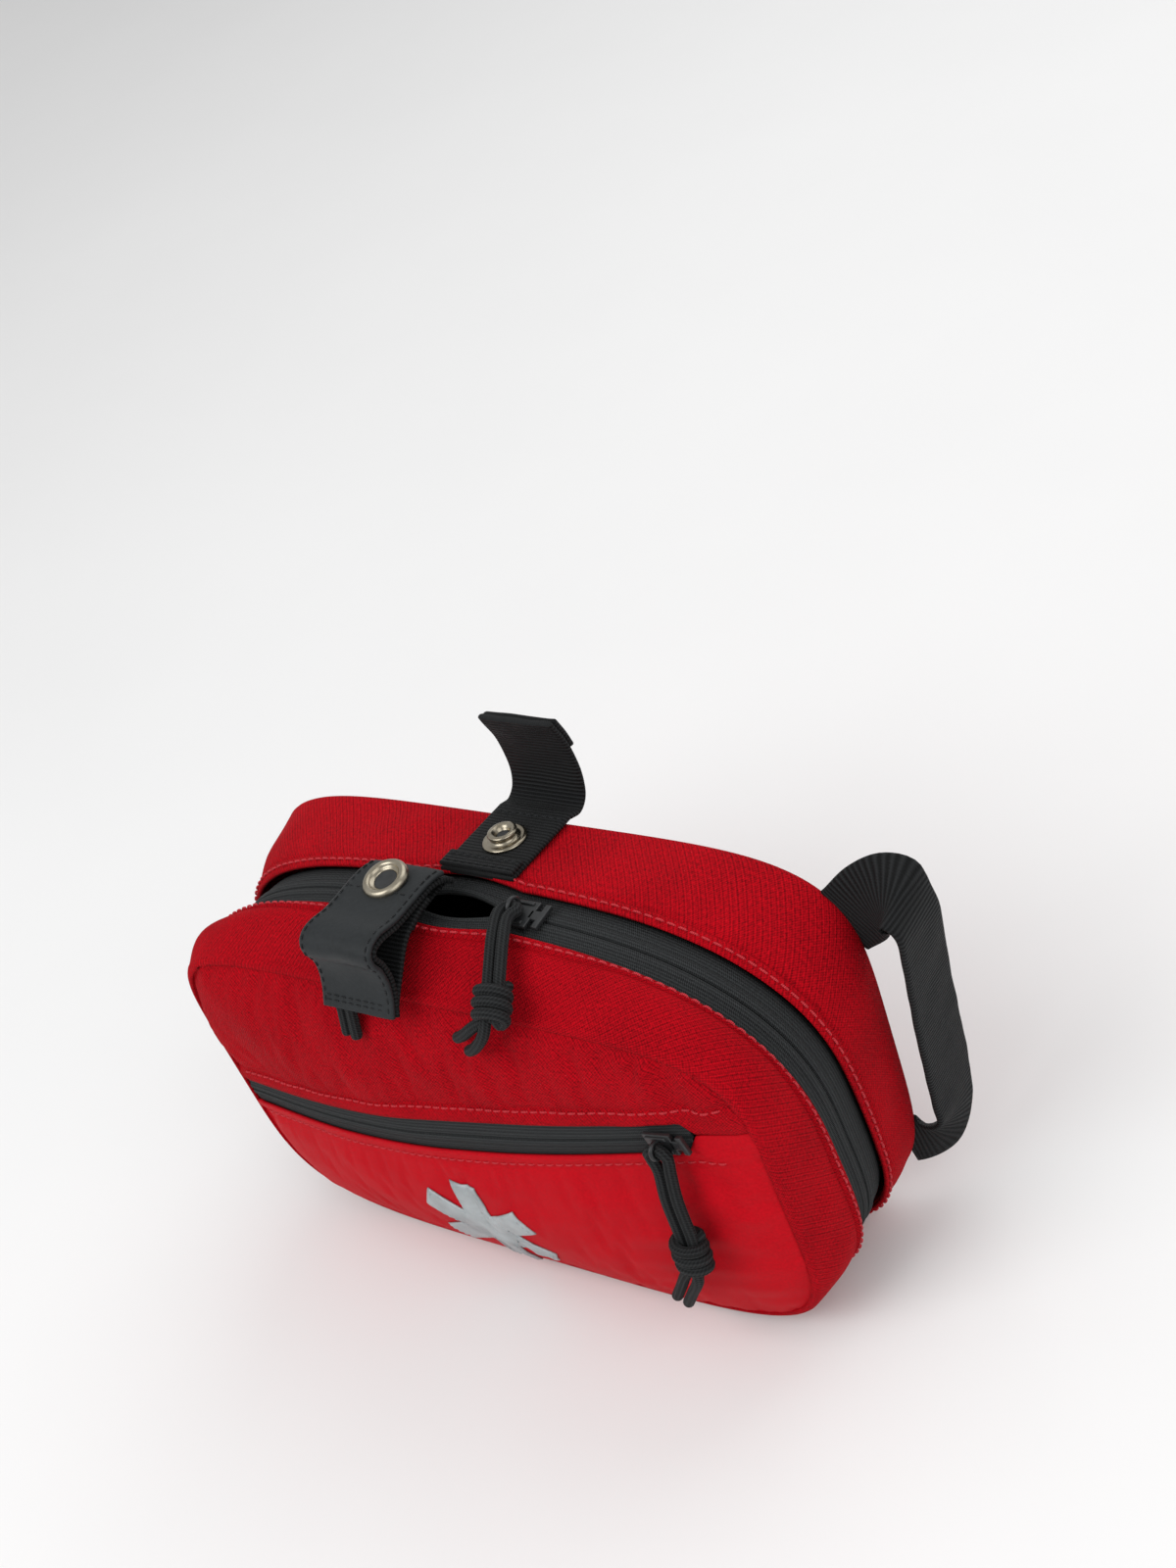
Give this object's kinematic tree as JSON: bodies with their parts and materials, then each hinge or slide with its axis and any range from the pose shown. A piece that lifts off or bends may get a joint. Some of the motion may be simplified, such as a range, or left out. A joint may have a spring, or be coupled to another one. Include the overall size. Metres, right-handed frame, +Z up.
{
  "type": "first aid kit",
  "caption": "Stuffed canvas pouch with a zip round its top and sides, a zipped front pocket, a snap strap and tab, and a side handle.",
  "frame": {"origin": "on the base face, at the middle of the bottom hinge strip", "axes": "+X to the kit's right, +Y to its back, the side worn against the body, +Z up"},
  "size_m": [0.2201, 0.0952, 0.1452],
  "materials": {
    "red_canvas": "woven canvas, matt",
    "pocket_nylon": "fine nylon, slight sheen",
    "lining": "coated lining",
    "mesh": "open mesh",
    "zip_tape": "knitted zip tape",
    "zip_coil": "nylon coil",
    "zip_slider": "black enamel",
    "webbing": "ribbed nylon webbing",
    "tab_leather": "smooth rubberised facing",
    "snap_metal": "antique nickel",
    "reflective": "reflective tape, glass beaded",
    "elastic": "ribbed elastic",
    "gauze": "cotton gauze",
    "dressing_wrap": "paper wrapped dressing",
    "cord": "braided sheath"
  },
  "bodies": {
    "rear_shell": {"rear_gusset": "red_canvas", "back_panel": "red_canvas", "rear_zip_coil": "zip_coil", "rear_zip_tape": "zip_tape", "bottom_hinge_strip": "red_canvas", "organiser_board": "lining", "bandage_roll_left": "gauze", "bandage_roll_right": "gauze", "elastic_loop_left": "elastic", "elastic_loop_right": "elastic", "dressing_pack": "dressing_wrap", "elastic_loop_pack": "elastic", "rear_strap_base": "webbing", "snap_stud": "snap_metal"},
    "front_shell": {"front_gusset": "red_canvas", "front_upper_panel": "red_canvas", "front_pocket_panel": "pocket_nylon", "pocket_zip_tape_upper": "zip_tape", "pocket_zip_tape_lower": "zip_tape", "pocket_zip_coil": "zip_coil", "front_lining": "lining", "mesh_pocket": "mesh", "front_zip_tape": "zip_tape", "front_zip_coil": "zip_coil", "star_patch": "reflective", "tab_root": "webbing"},
    "rear_strap": {"rear_strap_tail": "webbing", "rear_strap_fold": "webbing"},
    "front_tab": {"tab_webbing": "webbing", "tab_facing": "tab_leather", "snap_socket_ring": "snap_metal"},
    "handle": {"side_handle": "webbing"},
    "slider_right": {"main_slider_right": "zip_slider"},
    "slider_left": {"main_slider_left": "zip_slider"},
    "slider_pocket": {"pocket_slider": "zip_slider"},
    "pull_right": {"main_pull_right_strand_a": "cord", "main_pull_right_strand_b": "cord", "main_pull_right_knot": "cord"},
    "pull_left": {"main_pull_left_strand_a": "cord", "main_pull_left_strand_b": "cord", "main_pull_left_knot": "cord"},
    "pull_pocket": {"pocket_pull_strand_a": "cord", "pocket_pull_strand_b": "cord", "pocket_pull_knot": "cord"}
  },
  "joints": [
    {"name": "front_open", "type": "hinge", "parent": "rear_shell", "child": "front_shell", "pos_m": [0, -0.0072, 0], "axis": [1, 0, 0], "range_deg": [0, 100]},
    {"name": "tab_lift", "type": "hinge", "parent": "front_shell", "child": "front_tab", "pos_m": [-0.0125, 0.005, 0.1216], "axis": [-1, 0, 0], "range_deg": [0, 80]},
    {"name": "strap_swing", "type": "hinge", "parent": "rear_shell", "child": "rear_strap", "pos_m": [0.0035, 0.0378, 0.1179], "axis": [1, 0, 0], "range_deg": [-75, 75]},
    {"name": "handle_swing", "type": "hinge", "parent": "rear_shell", "child": "handle", "pos_m": [0.0966, 0.035, 0.06], "axis": [0, 0, 1], "range_deg": [-8, 60]},
    {"name": "slider_right_travel", "type": "hinge", "parent": "front_shell", "child": "slider_right", "pos_m": [0.00941, 0, -0.17228], "axis": [0, 1, 0], "range_deg": [-2.16, 3.6]},
    {"name": "slider_left_travel", "type": "hinge", "parent": "front_shell", "child": "slider_left", "pos_m": [-0.00911, 0, -0.17594], "axis": [0, 1, 0], "range_deg": [-2.8, 0.1]},
    {"name": "slider_pocket_travel", "type": "hinge", "parent": "front_shell", "child": "slider_pocket", "pos_m": [-0.00978, 0.43488, 0.06424], "axis": [-0.1772, 0, 0.9842], "range_deg": [-16.99, 0.1]},
    {"name": "pull_right_swing", "type": "hinge", "parent": "slider_right", "child": "pull_right", "pos_m": [0.023, 0, 0.1222], "axis": [-1, 0, 0], "range_deg": [0, 150]},
    {"name": "pull_left_swing", "type": "hinge", "parent": "slider_left", "child": "pull_left", "pos_m": [-0.021, 0, 0.12228], "axis": [0, 0, 1], "range_deg": [-5, 5]},
    {"name": "pull_pocket_swing", "type": "hinge", "parent": "slider_pocket", "child": "pull_pocket", "pos_m": [0.071, -0.03333, 0.07878], "axis": [-1, 0, 0], "range_deg": [0, 140]}
  ]
}
